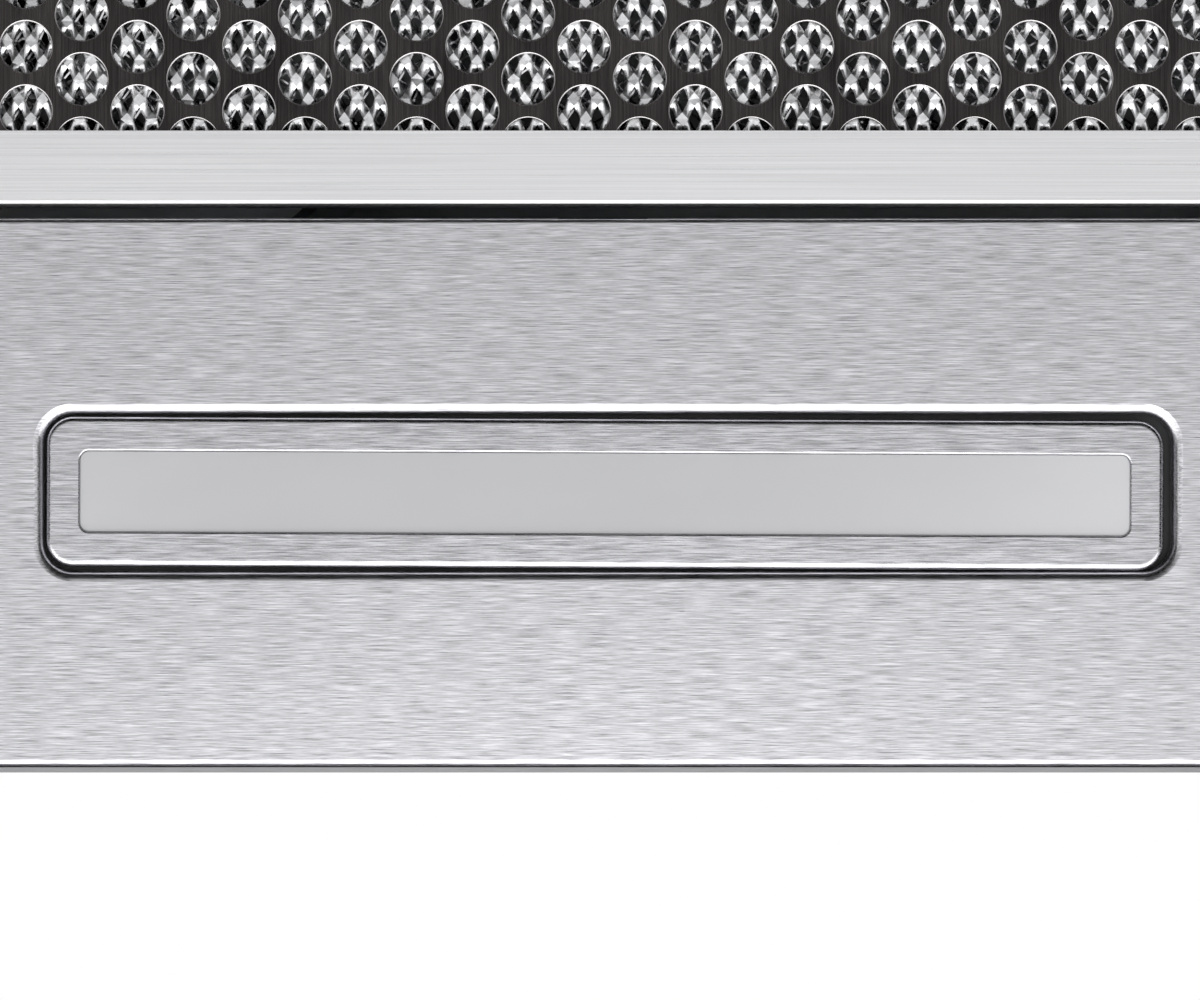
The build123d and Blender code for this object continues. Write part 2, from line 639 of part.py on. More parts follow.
def lamp_bezel(side):
    """Pressed stainless tray with a rounded rim and a window."""
    tray = pad(0, 0, BEZEL_Z, BEZEL_Z + 4.1, *BEZEL, BEZEL_R)
    tray = fillet(edges_of(tray, lambda b: b.max.Z < BEZEL_Z + 0.01), 1.0)
    hollow = pad(0, 0, BEZEL_Z + 0.8, BEZEL_Z + 6, BEZEL[0] - 1.6, BEZEL[1] - 1.6, BEZEL_R - 0.8)
    tray -= hollow
    tray -= pad(0, 0, BEZEL_Z - 1, BEZEL_Z + 2, *WINDOW, WINDOW_R)

    def lip(b):
        in_window = abs(b.center().X) < WINDOW[0] / 2 + 0.1 and abs(b.center().Y) < WINDOW[1] / 2 + 0.1
        return in_window and b.max.Z < BEZEL_Z + 0.01

    return at_lamp(side, fillet(edges_of(tray, lip), 0.3))


def lamp_diffuser(side):
    """Frosted window with a rim behind the tray."""
    pane = pad(0, 0, BEZEL_Z + 0.45, BEZEL_Z + 0.8, WINDOW[0] - 0.2, WINDOW[1] - 0.2, WINDOW_R - 0.1)
    rim = pad(0, 0, BEZEL_Z + 0.8, BEZEL_Z + 2.0, WINDOW[0] + 5, WINDOW[1] + 5, 2)
    return at_lamp(side, pane + rim)


def lamp_base(side):
    """Moulded housing on the upper side of the panel, with two stud ears."""
    x = -LAMP_X if side == "left" else LAMP_X
    base = pad(x, LAMP_Y, PANEL_TOP, FLOOR + 16, 194, 40, 3)
    base -= pad(x, LAMP_Y, PANEL_TOP - 1, BEZEL_Z + 4.1, 182, 32, 3)
    base -= pad(x, LAMP_Y, PANEL_TOP - 1, FLOOR + 14, 168, 18.6, 2)
    for s in (-1, 1):
        ear = block(x + s * 102 - 6, x + s * 102 + 6, LAMP_Y - 7, LAMP_Y + 7, PANEL_TOP, PANEL_TOP + 3)
        base += ear
        base -= post(x + s * 102, LAMP_Y, PANEL_TOP - 1, PANEL_TOP + 5, 1.7)
    return base


def led_strip(side):
    """Circuit strip with twelve emitters, under the roof of the lamp housing."""
    x = -LAMP_X if side == "left" else LAMP_X
    strip_ = block(x - 82, x + 82, LAMP_Y - 5, LAMP_Y + 5, FLOOR + 12.8, FLOOR + 14)
    for i in range(12):
        cx = x + (i - 5.5) * 13.4
        strip_ += block(cx - 1.8, cx + 1.8, LAMP_Y - 1.8, LAMP_Y + 1.8, FLOOR + 12, FLOOR + 12.8)
    return strip_


def lamp_fixings():
    pieces = []
    for lamp in (-LAMP_X, LAMP_X):
        for s in (-1, 1):
            x = lamp + s * 102
            pieces.append(post(x, LAMP_Y, PANEL_TOP, PANEL_TOP + 8, 1.5))
            pieces.append(hexagon(x, LAMP_Y, PANEL_TOP + 3, PANEL_TOP + 5.4, 3.2) - post(
                x, LAMP_Y, PANEL_TOP, PANEL_TOP + 9, 1.5))
    return pieces


# ---------------------------------------------------------------- filters, built about X = 0


LATCH_Y0 = 171.0
LATCH_X = 24.0
FRAME_BACK = FILTER_FRONT + FILTER_L


def filter_frame():
    """Channel frame with the hinge tongue in front and the latch slot behind."""
    w, l = FILTER_W, FILTER_L
    frame = pad(0, FILTER_Y, FLOOR, FLOOR + FILTER_H, w, l, 1.5)
    frame = fillet(edges_of(frame, lambda b: b.max.Z < FLOOR + 0.01), 0.6)
    frame -= block(-w / 2 + 0.8, w / 2 - 0.8, FILTER_FRONT + 0.8, FRAME_BACK - 0.8, FLOOR + 0.8,
                   FLOOR + FILTER_H - 0.8)
    y0, y1 = FILTER_FRONT + FLANGE, FRAME_BACK - FLANGE
    frame -= block(-w / 2 + FLANGE, w / 2 - FLANGE, y0, y1, FLOOR - 1, FLOOR + 2)
    frame -= block(-w / 2 + 8, w / 2 - 8, FILTER_FRONT + 8, FRAME_BACK - 8, FLOOR + 5, FLOOR + 12)
    for x in TONGUES:
        frame += block(x - 5, x + 5, TONGUE_Y - 5.5, FILTER_FRONT + 0.8, TONGUE_Z - 0.6, TONGUE_Z + 0.6)
    return frame - block(-15.4, 15.4, FRAME_BACK - 2, FRAME_BACK + 1, -138, -132)


def filter_plate():
    """Perforated face sheet: round holes on a triangular lattice."""
    w, l = FILTER_W / 2 - 0.9, FILTER_L / 2 - 0.9
    x_notch, y_notch = LATCH_X + 0.3, LATCH_Y0 - 0.3
    outline = Polyline(
        (-w, FILTER_Y - l), (w, FILTER_Y - l), (w, FILTER_Y + l), (x_notch, FILTER_Y + l), (x_notch, y_notch),
        (-x_notch, y_notch), (-x_notch, FILTER_Y + l), (-w, FILTER_Y + l), close=True)
    holes = []
    for i in range(-20, 21):
        x = FIRST_COLUMN + i * COLUMN
        for j in range(-2, 40):
            y = FIRST_ROW + (i % 2) * PITCH / 2 + j * PITCH
            if abs(x) > w - 5.5 or abs(y - FILTER_Y) > l - 5.5:
                continue
            if abs(x) < x_notch + 5.5 and y > y_notch - 5.5:
                continue
            holes.append(Wire.make_circle(HOLE_R, Plane(origin=(x, y, 0))))
    print("holes", len(holes))
    face = Face(Wire(outline.edges()), holes)
    plate = Solid.extrude(face, Vector(0, 0, 0.6))
    return Pos(0, 0, FLOOR + 0.8) * plate


def filter_mesh():
    """The stack of expanded aluminium layers, each one as a thin plain tray."""
    w, l = FILTER_W / 2 - 1.2, FILTER_L / 2 - 1.2
    y0, y1 = FILTER_Y - l, FILTER_Y + l
    layers = []
    for i in range(MESH_LAYERS):
        z = FLOOR + 1.4 + i * MESH_STEP
        tray = block(-w, w, y0, y1, z, z + MESH_STEP)
        tray -= block(-w + 2, w - 2, y0 + 2, y1 - 2, z + 0.25, z + 9)
        layers.append(tray - block(-LATCH_X - 0.4, LATCH_X + 0.4, LATCH_Y0 - 0.4, 300, z - 1, z + 9))
    return layers


def filter_back():
    """Coarse grille that holds the mesh from behind."""
    w, l = FILTER_W / 2 - 0.9, FILTER_L / 2 - 0.9
    x_notch, y_notch = LATCH_X + 0.3, LATCH_Y0 - 0.3
    outline = Polyline(
        (-w, FILTER_Y - l), (w, FILTER_Y - l), (w, FILTER_Y + l), (x_notch, FILTER_Y + l), (x_notch, y_notch),
        (-x_notch, y_notch), (-x_notch, FILTER_Y + l), (-w, FILTER_Y + l), close=True)
    windows = []
    for i in range(8):
        for j in range(9):
            x = (i - 3.5) * 38
            y = FILTER_Y + (j - 4) * 39
            if abs(x) < x_notch + 22 and y > y_notch - 22:
                continue
            windows.append(Wire.make_rect(33, 34).moved(Location((x, y, 0))))
    face = Face(Wire(outline.edges()), windows)
    return Pos(0, 0, FLOOR + 8.6) * Solid.extrude(face, Vector(0, 0, 0.6))


def latch_case():
    """Pocket in the frame that guides the latch; the finger pad shows through its floor."""
    case = block(-LATCH_X, LATCH_X, LATCH_Y0, FRAME_BACK - 0.8, FLOOR + 0.8, FLOOR + FILTER_H - 0.8)
    case -= block(-17, 17, LATCH_Y0 + 5, FRAME_BACK, FLOOR + 2, FLOOR + 8)
    return case - block(-10.4, 10.4, LATCH_Y0 + 10.5, LATCH_Y0 + 31.5, FLOOR, FLOOR + 4)


def latch():
    """Sliding bolt with a ribbed finger pad."""
    slide = block(-16.7, 16.7, LATCH_Y0 + 18, LATCH_Y0 + 40, FLOOR + 2.3, FLOOR + 7.7)
    slide += block(-15, 15, LATCH_Y0 + 40, RAIL_FRONT + 5, FLOOR + 2.3, FLOOR + 7.7)
    finger = block(-10, 10, LATCH_Y0 + 19, LATCH_Y0 + 31, FLOOR + 1, FLOOR + 3)
    for y in (21, 24, 27):
        finger += block(-9, 9, LATCH_Y0 + y, LATCH_Y0 + y + 1.4, FLOOR + 0.2, FLOOR + 1.2)
    bolt = slide + finger
    y = RAIL_FRONT + 6
    lead = Plane.YZ * make_face(Polyline((y, FLOOR + 4.5), (y, FLOOR + 9), (y - 4.5, FLOOR + 9), close=True))
    return bolt - Pos(-20, 0, 0) * extrude(lead, 40)


def build_all():
    save("canopy_wrap", canopy_wrap())
    save("top_panel", top_panel())
    save("back_panel", back_panel())
    save("light_panel", light_panel())
    save("rear_rail", rear_rail())
    save("centre_rail", centre_rail())
    save("rear_cover", rear_cover())
    save("outlet_box", outlet_box())
    save("duct_collar", duct_collar())
    save("damper_pin", damper_pin())
    save("damper_flap_rear", damper_flap(1))
    save("damper_flap_front", damper_flap(-1))
    save("scroll_wall", scroll_wall())
    save("scroll_top", scroll_top())
    save("scroll_bottom", scroll_bottom())
    save("inlet_ring", inlet_ring())
    save("inlet_guard", inlet_guard())
    save("blower_mountings", blower_mountings())
    save("fan_wheel", fan_wheel())
    save("wheel_nut", wheel_nut())
    save("motor_can", motor_can())
    save("motor_end_cap", motor_end_cap())
    save("motor_bearings", motor_bearings())
    save("motor_stator", motor_stator())
    save("motor_windings", motor_windings())
    save("motor_rotor", motor_rotor())
    save("motor_shaft", motor_shaft())
    save("screws", motor_screws() + rear_cover_screws() + wiring_screws())
    save("capacitor", capacitor())
    save("capacitor_clamp", capacitor_clamp())
    save("wiring_box", wiring_box())
    save("wiring_cover", wiring_cover())
    save("terminal_block", terminal_block())
    save("cable_clamp", cable_clamp())
    save("led_driver", led_driver())
    save("control_bezel", control_bezel())
    save("control_housing", control_housing())
    save("control_board", control_board())
    for name, i in BUTTONS:
        save(f"button_{name}", button(i))
    save("lamp_bezels", [lamp_bezel("left"), lamp_bezel("right")])
    save("lamp_diffusers", [lamp_diffuser("left"), lamp_diffuser("right")])
    save("lamp_bases", [lamp_base("left"), lamp_base("right")])
    save("led_strips", [led_strip("left"), led_strip("right")])
    save("lamp_fixings", lamp_fixings())
    pieces = {
        "frame": filter_frame(),
        "plate": filter_plate(),
        "mesh": filter_mesh(),
        "back": filter_back(),
        "latch_case": latch_case(),
    }
    bolt = latch()
    for side, x in (("left", -FILTER_X), ("right", FILTER_X)):
        for name, shape in pieces.items():
            parts = shape if isinstance(shape, list) else [shape]
            save(f"filter_{name}_{side}", [Pos(x, 0, 0) * p for p in parts])
        save(f"latch_{side}", Pos(x, 0, 0) * bolt)


build_all()
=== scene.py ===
"""Looks for the under-cabinet range hood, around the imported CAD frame. Metres, +Z up, +Y to the wall."""

import math

import bmesh
import bpy
import numpy as np
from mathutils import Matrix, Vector


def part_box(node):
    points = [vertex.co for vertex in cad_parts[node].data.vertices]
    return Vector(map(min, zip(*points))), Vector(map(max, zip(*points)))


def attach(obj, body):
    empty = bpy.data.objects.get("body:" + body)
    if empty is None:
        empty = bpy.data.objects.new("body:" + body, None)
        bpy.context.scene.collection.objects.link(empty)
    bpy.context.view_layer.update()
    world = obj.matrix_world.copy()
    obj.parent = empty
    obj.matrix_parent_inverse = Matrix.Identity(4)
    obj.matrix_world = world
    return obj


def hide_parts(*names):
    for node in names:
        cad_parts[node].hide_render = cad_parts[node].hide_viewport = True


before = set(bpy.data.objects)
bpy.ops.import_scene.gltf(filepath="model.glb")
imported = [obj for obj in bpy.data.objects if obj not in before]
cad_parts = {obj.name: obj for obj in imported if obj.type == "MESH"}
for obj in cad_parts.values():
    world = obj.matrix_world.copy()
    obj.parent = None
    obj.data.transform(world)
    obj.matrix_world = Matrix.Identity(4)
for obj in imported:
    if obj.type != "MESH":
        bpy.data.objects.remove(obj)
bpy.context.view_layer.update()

MM = 0.001
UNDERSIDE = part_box("light_panel")[0].z
view = bpy.context.scene.view_settings
view.view_transform = "Standard"
view.look = "None"


# ---------------------------------------------------------------- node helpers


class Nodes:
    """One material's node tree, with short calls for the nodes used here."""

    def __init__(self, name, **bsdf):
        self.mat = bpy.data.materials.new(name)
        self.mat.use_nodes = True
        self.tree = self.mat.node_tree
        self.bsdf = next(n for n in self.tree.nodes if n.type == "BSDF_PRINCIPLED")
        for key, value in bsdf.items():
            socket = self.bsdf.inputs[key.replace("_", " ")]
            socket.default_value = value

    def new(self, kind, **inputs):
        node = self.tree.nodes.new(kind)
        for key, value in inputs.items():
            self.put(node.inputs[key.replace("_", " ")], value)
        return node

    def put(self, socket, value):
        if isinstance(value, bpy.types.NodeSocket):
            self.tree.links.new(value, socket)
        else:
            socket.default_value = value

    def position(self):
        return self.new("ShaderNodeTexCoord").outputs["Object"]

    def normal(self):
        return self.new("ShaderNodeNewGeometry").outputs["Normal"]

    def math(self, op, a, b=0.0):
        node = self.tree.nodes.new("ShaderNodeMath")
        node.operation = op
        for socket, value in zip(node.inputs, (a, b)):
            self.put(socket, value)
        return node.outputs[0]

    def split(self, vector):
        return self.new("ShaderNodeSeparateXYZ", Vector=vector).outputs

    def scaled(self, vector, scale, shift=(0, 0, 0)):
        node = self.tree.nodes.new("ShaderNodeMapping")
        self.put(node.inputs["Vector"], vector)
        node.inputs["Scale"].default_value = scale
        node.inputs["Location"].default_value = shift
        return node.outputs[0]

    def pick(self, factor, a, b):
        """A vector mixed from a to b."""
        node = self.tree.nodes.new("ShaderNodeMix")
        node.data_type = "VECTOR"
        self.put(node.inputs[0], factor)
        self.put(node.inputs[4], a)
        self.put(node.inputs[5], b)
        return node.outputs[1]

    def noise(self, vector, detail=2.0, rough=0.5):
        node = self.new("ShaderNodeTexNoise", Vector=vector, Scale=1.0, Detail=detail, Roughness=rough)
        return node.outputs[0]

    def spread(self, value, low, high, to_low, to_high):
        """value taken from the range low to high into the range to_low to to_high."""
        node = self.tree.nodes.new("ShaderNodeMapRange")
        for socket, given in zip(node.inputs, (value, low, high, to_low, to_high)):
            self.put(socket, given)
        return node.outputs[0]

    def bump(self, height, distance):
        return self.new("ShaderNodeBump", Height=height, Distance=distance, Strength=1.0).outputs[0]

    def tint(self, rgb, value):
        """rgb times a grey value."""
        node = self.tree.nodes.new("ShaderNodeVectorMath")
        node.operation = "SCALE"
        node.inputs[0].default_value = rgb
        self.put(node.inputs["Scale"], value)
        return node.outputs[0]


def grain_along(n, where, along, fine=4200.0, long=130.0, shift=(0, 0, 0)):
    """Coordinates for drawn-out noise, whose lines run along the named axis."""
    scale = {"x": (long, fine, fine), "y": (fine, long, fine), "z": (fine, fine, long)}[along]
    return n.scaled(where, scale, shift)


CUT_EDGE = 0.5  # a sheared sheet edge against the brushed face beside it
SKIN_METALLIC = 0.45  # the canopy and the galvanised sheets keep a matt part, to read grey from every side
FRONT_TONE = 0.62  # the apron faces the key light, so it is toned down
FACING = 0.7  # how squarely a face looks along an axis
HAIR_DEPTH = 0.00001


def brushed(name, rgb, along="x", rough=0.3, contrast=0.16, turn_sides=False, long=130.0, edge_y=None,
            metallic=1.0):
    """Brushed metal: short bright and dark hairlines in colour, gloss and height.

    turn_sides runs them from front to back on the side faces.
    edge_y is how far back the front sheet's cut edge reaches; when it is given, faces turned to the front
    also get painted shade.
    """
    n = Nodes(name, Metallic=metallic)
    where = n.position()
    coords = grain_along(n, where, along, fine=6000.0, long=long)
    slow = grain_along(n, where, along, fine=900.0, long=22.0, shift=(3.1, 7.7, 1.3))
    if turn_sides:
        nx = n.math("ABSOLUTE", n.split(n.normal())[0])
        side = n.math("GREATER_THAN", nx, 0.6)
        coords = n.pick(side, coords, grain_along(n, where, "y"))
        slow = n.pick(side, slow, grain_along(n, where, "y", fine=900.0, long=22.0))
    hair = n.noise(coords, detail=3.0, rough=0.65)
    broad = n.noise(slow, detail=2.0, rough=0.5)
    cloud = n.noise(n.scaled(where, (9.0, 9.0, 9.0)), detail=2.0)
    grey = n.spread(hair, 0.25, 0.75, 1 - contrast, 1 + contrast)
    grey = n.math("MULTIPLY", grey, n.spread(broad, 0.3, 0.7, 0.965, 1.035))
    grey = n.math("MULTIPLY", grey, n.spread(cloud, 0.3, 0.7, 0.985, 1.015))
    if edge_y is not None:
        faces_down = n.math("LESS_THAN", n.split(n.normal())[2], -FACING)
        at_edge = n.math("MULTIPLY", faces_down, n.math("LESS_THAN", n.split(where)[1], edge_y))
        grey = n.math("MULTIPLY", grey, n.spread(at_edge, 0.0, 1.0, 1.0, CUT_EDGE))
        # painted shade: faces turned to the front are darkened by FRONT_TONE, since they face the key light
        faces_front = n.math("LESS_THAN", n.split(n.normal())[1], -FACING)
        grey = n.math("MULTIPLY", grey, n.spread(faces_front, 0.0, 1.0, 1.0, FRONT_TONE))
    n.put(n.bsdf.inputs["Base Color"], n.tint(rgb, grey))
    n.put(n.bsdf.inputs["Roughness"], n.spread(hair, 0.25, 0.75, rough - 0.05, rough + 0.07))
    n.put(n.bsdf.inputs["Normal"], n.bump(hair, HAIR_DEPTH))
    return n.mat


def zinc(name, rgb=(0.52, 0.54, 0.55)):
    """Galvanised sheet: pale spangles and faint rolling marks."""
    n = Nodes(name, Metallic=SKIN_METALLIC)
    where = n.position()
    cell = n.new("ShaderNodeTexVoronoi", Vector=n.scaled(where, (90.0, 90.0, 90.0)), Scale=1.0)
    spangle = n.split(cell.outputs["Color"])[0]
    cloud = n.noise(n.scaled(where, (14.0, 14.0, 14.0)), detail=4.0)
    roll = n.noise(n.scaled(where, (12.0, 1500.0, 1500.0)), detail=2.0)
    grey = n.math("MULTIPLY", n.spread(spangle, 0.0, 1.0, 0.9, 1.08), n.spread(cloud, 0.3, 0.7, 0.92, 1.06))
    n.put(n.bsdf.inputs["Base Color"], n.tint(rgb, grey))
    n.put(n.bsdf.inputs["Roughness"], n.spread(spangle, 0.0, 1.0, 0.34, 0.52))
    n.put(n.bsdf.inputs["Normal"], n.bump(roll, HAIR_DEPTH))
    return n.mat


def plain_metal(name, rgb, rough=0.25, turned=True):
    """Machined or plated metal, with a faint turned pattern or an even one."""
    n = Nodes(name, Metallic=1.0)
    where = n.position()
    marks = n.noise(n.scaled(where, (400.0, 400.0, 2600.0 if turned else 400.0)), detail=3.0)
    n.put(n.bsdf.inputs["Base Color"], n.tint(rgb, n.spread(marks, 0.3, 0.7, 0.93, 1.06)))
    n.put(n.bsdf.inputs["Roughness"], n.spread(marks, 0.3, 0.7, rough - 0.04, rough + 0.08))
    n.put(n.bsdf.inputs["Normal"], n.bump(marks, HAIR_DEPTH))
    return n.mat


def plastic(name, rgb, rough=0.45, coat=0.0, grain=0.00003):
    """Moulded plastic with a spark-eroded grain."""
    n = Nodes(name, Coat_Weight=coat, Coat_Roughness=0.08)
    where = n.position()
    fine = n.noise(n.scaled(where, (1400.0, 1400.0, 1400.0)), detail=2.0)
    cloud = n.noise(n.scaled(where, (40.0, 40.0, 40.0)), detail=2.0)
    n.put(n.bsdf.inputs["Base Color"], n.tint(rgb, n.spread(cloud, 0.3, 0.7, 0.94, 1.06)))
    n.put(n.bsdf.inputs["Roughness"], n.spread(cloud, 0.3, 0.7, rough - 0.04, rough + 0.05))
    n.put(n.bsdf.inputs["Normal"], n.bump(fine, grain))
    return n.mat


def finish(mat, *nodes):
    """Gives the named CAD nodes this material alone."""
    for name in nodes:
        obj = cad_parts[name]
        obj.data.materials.clear()
        obj.data.materials.append(mat)


# ---------------------------------------------------------------- camera

LAMP = Vector((-0.182, -0.2066, UNDERSIDE))
CAMERA_BELOW = 0.75
CAMERA_OFF = (0.00124, -0.00116)  # from the lamp's middle
PICTURE_WIDTH = 0.186  # at the underside
SENSOR = 36.0
camera_data = bpy.data.cameras.new("camera")
camera = bpy.data.objects.new("camera", camera_data)
bpy.context.collection.objects.link(camera)
bpy.context.scene.camera = camera
camera_data.sensor_width = SENSOR
camera_data.lens = SENSOR * CAMERA_BELOW / PICTURE_WIDTH
camera_data.clip_start = 0.01
camera_data.clip_end = 50.0
camera.location = LAMP + Vector((*CAMERA_OFF, -CAMERA_BELOW))
camera.rotation_euler = (0.0, math.pi, 0.0)


# ---------------------------------------------------------------- materials

APRON_EDGE = 1.3 * MM  # a little more than the front sheet's thickness
apron_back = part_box("canopy_wrap")[0].y + APRON_EDGE
steel = brushed("steel_canopy", (0.60, 0.60, 0.615), "x", turn_sides=True, edge_y=apron_back,
                metallic=SKIN_METALLIC)
steel_panel = brushed("steel_panel", (0.595, 0.592, 0.618), "x", contrast=0.62, long=180.0)
steel_bezel = brushed("steel_bezel", (0.565, 0.562, 0.588), "x", rough=0.26, contrast=0.66, long=180.0)
finish(steel, "canopy_wrap")
finish(steel_panel, "light_panel", "rear_rail")
finish(brushed("steel_rail", (0.60, 0.60, 0.612), "y"), "centre_rail")
finish(steel_bezel, "lamp_bezels")
finish(zinc("zinc_outer"), "top_panel", "back_panel", "rear_cover", "duct_collar")
finish(zinc("zinc_inner", (0.47, 0.49, 0.5)), "outlet_box", "scroll_wall", "scroll_top", "scroll_bottom",
       "capacitor_clamp", "wiring_box", "wiring_cover", "damper_flap_rear", "damper_flap_front")
finish(plain_metal("plated_steel", (0.62, 0.62, 0.63)), "damper_pin", "blower_mountings", "inlet_guard",
       "motor_shaft", "screws", "lamp_fixings")
finish(plain_metal("button_chrome", (0.72, 0.72, 0.73), rough=0.12),
       *[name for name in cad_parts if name.startswith("button_")])
finish(plain_metal("nut_brass", (0.72, 0.55, 0.27)), "wheel_nut")
finish(plain_metal("bearing_bronze", (0.6, 0.42, 0.24), rough=0.4), "motor_bearings")
finish(plain_metal("winding_copper", (0.66, 0.34, 0.18), rough=0.35), "motor_windings")
finish(plain_metal("core_iron", (0.2, 0.2, 0.21), rough=0.5), "motor_stator", "motor_rotor")
finish(plain_metal("drawn_can", (0.7, 0.71, 0.72), rough=0.3), "capacitor")
finish(plastic("motor_enamel", (0.03, 0.03, 0.034), rough=0.35, coat=0.4), "motor_can", "motor_end_cap")
finish(plastic("black_moulding", (0.028, 0.028, 0.03)), "inlet_ring", "fan_wheel", "lamp_bases",
       "control_housing", "led_driver", "cable_clamp")
finish(plastic("ivory_moulding", (0.7, 0.69, 0.64)), "terminal_block")
finish(plastic("trim_black", (0.012, 0.012, 0.014), rough=0.12, coat=0.6, grain=0.000004), "control_bezel")
finish(plastic("board_green", (0.03, 0.17, 0.08), rough=0.3, coat=0.3), "control_board")
finish(plastic("board_white", (0.8, 0.8, 0.78), rough=0.35), "led_strips")
finish(plastic("latch_grey", (0.2, 0.2, 0.21), rough=0.5),
       "filter_latch_case_left", "filter_latch_case_right", "latch_left", "latch_right")


DIFFUSER_PAINTED_ENDS = 24.0  # painted light: extra brightness per square metre from the middle of the pane
DIFFUSER_PAINTED_OUTWARD = 0.95  # and painted light per metre toward the hood's side


def frosted():
    """Diffuser pane: satin plastic, a little uneven along its length, with painted light that brightens it
    toward its ends and toward the hood's side.
    """
    n = Nodes("diffuser_frost", Roughness=0.42, Specular_IOR_Level=0.5)
    where = n.position()
    cloud = n.noise(n.scaled(where, (26.0, 60.0, 26.0)), detail=2.0)
    fine = n.noise(n.scaled(where, (5200.0, 5200.0, 5200.0)), detail=1.0)
    # painted light: the pane's colour grows brighter away from its middle and toward the hood's side
    from_middle = n.math("SUBTRACT", n.math("ABSOLUTE", n.split(where)[0]), abs(LAMP.x))
    painted_brightening = n.math("MULTIPLY", n.math("MULTIPLY", from_middle, from_middle), DIFFUSER_PAINTED_ENDS)
    painted_brightening = n.math("ADD", painted_brightening, n.math("MULTIPLY", from_middle, DIFFUSER_PAINTED_OUTWARD))
    grey = n.math("MULTIPLY", n.spread(cloud, 0.3, 0.7, 0.975, 1.03), n.math("ADD", painted_brightening, 1.0))
    n.put(n.bsdf.inputs["Base Color"], n.tint((0.505, 0.505, 0.518), grey))
    n.put(n.bsdf.inputs["Normal"], n.bump(fine, 0.000006))
    return n.mat


finish(frosted(), "lamp_diffusers")


FRAME_LENGTH = 380.0 * MM  # of a filter, without its tongues


def extruded(side):
    """Frame aluminium: fine draw lines along each side of the frame, meeting at the mitres."""
    n = Nodes("frame_draw_lines_" + side, Metallic=1.0)
    where = n.position()
    low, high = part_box("filter_frame_" + side)
    half_x, half_y = (high.x - low.x) / 2, FRAME_LENGTH / 2
    x, y, _ = n.split(where)
    from_x = n.math("DIVIDE", n.math("ABSOLUTE", n.math("SUBTRACT", x, (low.x + high.x) / 2)), half_x)
    from_y = n.math("ABSOLUTE", n.math("SUBTRACT", y, high.y - half_y))
    on_side = n.math("GREATER_THAN", n.math("SUBTRACT", n.math("MULTIPLY", from_x, half_x), half_x),
                     n.math("SUBTRACT", from_y, half_y))
    coords = n.pick(on_side, grain_along(n, where, "x", fine=3600.0, long=12.0),
                    grain_along(n, where, "y", fine=3600.0, long=12.0))
    lines = n.noise(coords, detail=3.0, rough=0.6)
    grey = n.spread(lines, 0.3, 0.7, 0.9, 1.08)
    n.put(n.bsdf.inputs["Base Color"], n.tint((0.87, 0.87, 0.885), grey))
    n.put(n.bsdf.inputs["Roughness"], n.spread(lines, 0.3, 0.7, 0.26, 0.4))
    n.put(n.bsdf.inputs["Normal"], n.bump(lines, 0.000012))
    return n.mat


def painted_dark_plate():
    """Face sheet of the filter: polished steel brushed from front to back, its dark bronze-grey colour a
    painted reflection of dark surroundings.
    """
    n = Nodes("plate_painted_dark", Metallic=1.0)
    where = n.position()
    hair = n.noise(grain_along(n, where, "y", fine=3800.0, long=60.0), detail=3.0, rough=0.6)
    cloud = n.noise(n.scaled(where, (120.0, 60.0, 60.0)), detail=3.0)
    grey = n.math("MULTIPLY", n.spread(hair, 0.3, 0.7, 0.6, 1.5), n.spread(cloud, 0.3, 0.7, 0.7, 1.4))
    # painted reflection: the steel face is given a near-black base colour for the dark surroundings it
    # reflects
    n.put(n.bsdf.inputs["Base Color"], n.tint((0.043, 0.039, 0.039), grey))
    n.put(n.bsdf.inputs["Roughness"], n.spread(hair, 0.3, 0.7, 0.2, 0.34))
    n.put(n.bsdf.inputs["Normal"], n.bump(hair, 0.00001))
    return n.mat


def mesh_metal(name, rgb, rough=0.24):
    """Expanded aluminium, a little uneven in tone and gloss."""
    n = Nodes(name, Metallic=1.0)
    where = n.position()
    marks = n.noise(n.scaled(where, (900.0, 900.0, 900.0)), detail=3.0)
    n.put(n.bsdf.inputs["Base Color"], n.tint(rgb, n.spread(marks, 0.3, 0.7, 0.8, 1.1)))
    n.put(n.bsdf.inputs["Roughness"], n.spread(marks, 0.3, 0.7, rough - 0.08, rough + 0.08))
    return n.mat


for side in ("left", "right"):
    finish(extruded(side), "filter_frame_" + side)
finish(plain_metal("mill_dull", (0.16, 0.16, 0.165), rough=0.55, turned=False),
       "filter_back_left", "filter_back_right")


# ---------------------------------------------------------------- filters

PITCH = 10.0 * MM  # of the holes, in columns from front to back
COLUMN = PITCH * math.cos(math.radians(30))
FIRST_COLUMN = 3.72 * MM  # a column's distance from the filter's middle
HOLE_R = 4.0 * MM
FLANGE = 11.4 * MM  # the frame's visible width
FIRST_ROW = 3.07 * MM  # from the flange to the first hole's middle
RIM = 0.17 * MM  # radius of the holes' rounded edges
PLATE_MARGIN = 5.5 * MM  # from the plate's edge to the nearest hole's middle
CASE_MARGIN = (29.8 * MM, 5.8 * MM)  # the same beside and before the latch case
CASE_GAP = 0.3 * MM
NEAR_LAMP = (100.0 * MM, 30.0 * MM)  # the photographed holes get more segments
ROUND, COARSE = 64, 18


def add_spline(curve, points):
    spline = curve.splines.new("POLY")
    spline.points.add(len(points) - 1)
    spline.points.foreach_set("co", [c for x, y in points for c in (x, y, 0.0, 1.0)])
    spline.use_cyclic_u = True


def link_mesh(name, mesh, material, body, slot, *replaced):
    """Links a made mesh that rides on body, in place of the replaced CAD nodes."""
    obj = bpy.data.objects.new(name, mesh)
    bpy.context.collection.objects.link(obj)
    mesh.materials.clear()
    mesh.materials.append(material)
    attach(obj, body)
    if replaced:
        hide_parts(*replaced)


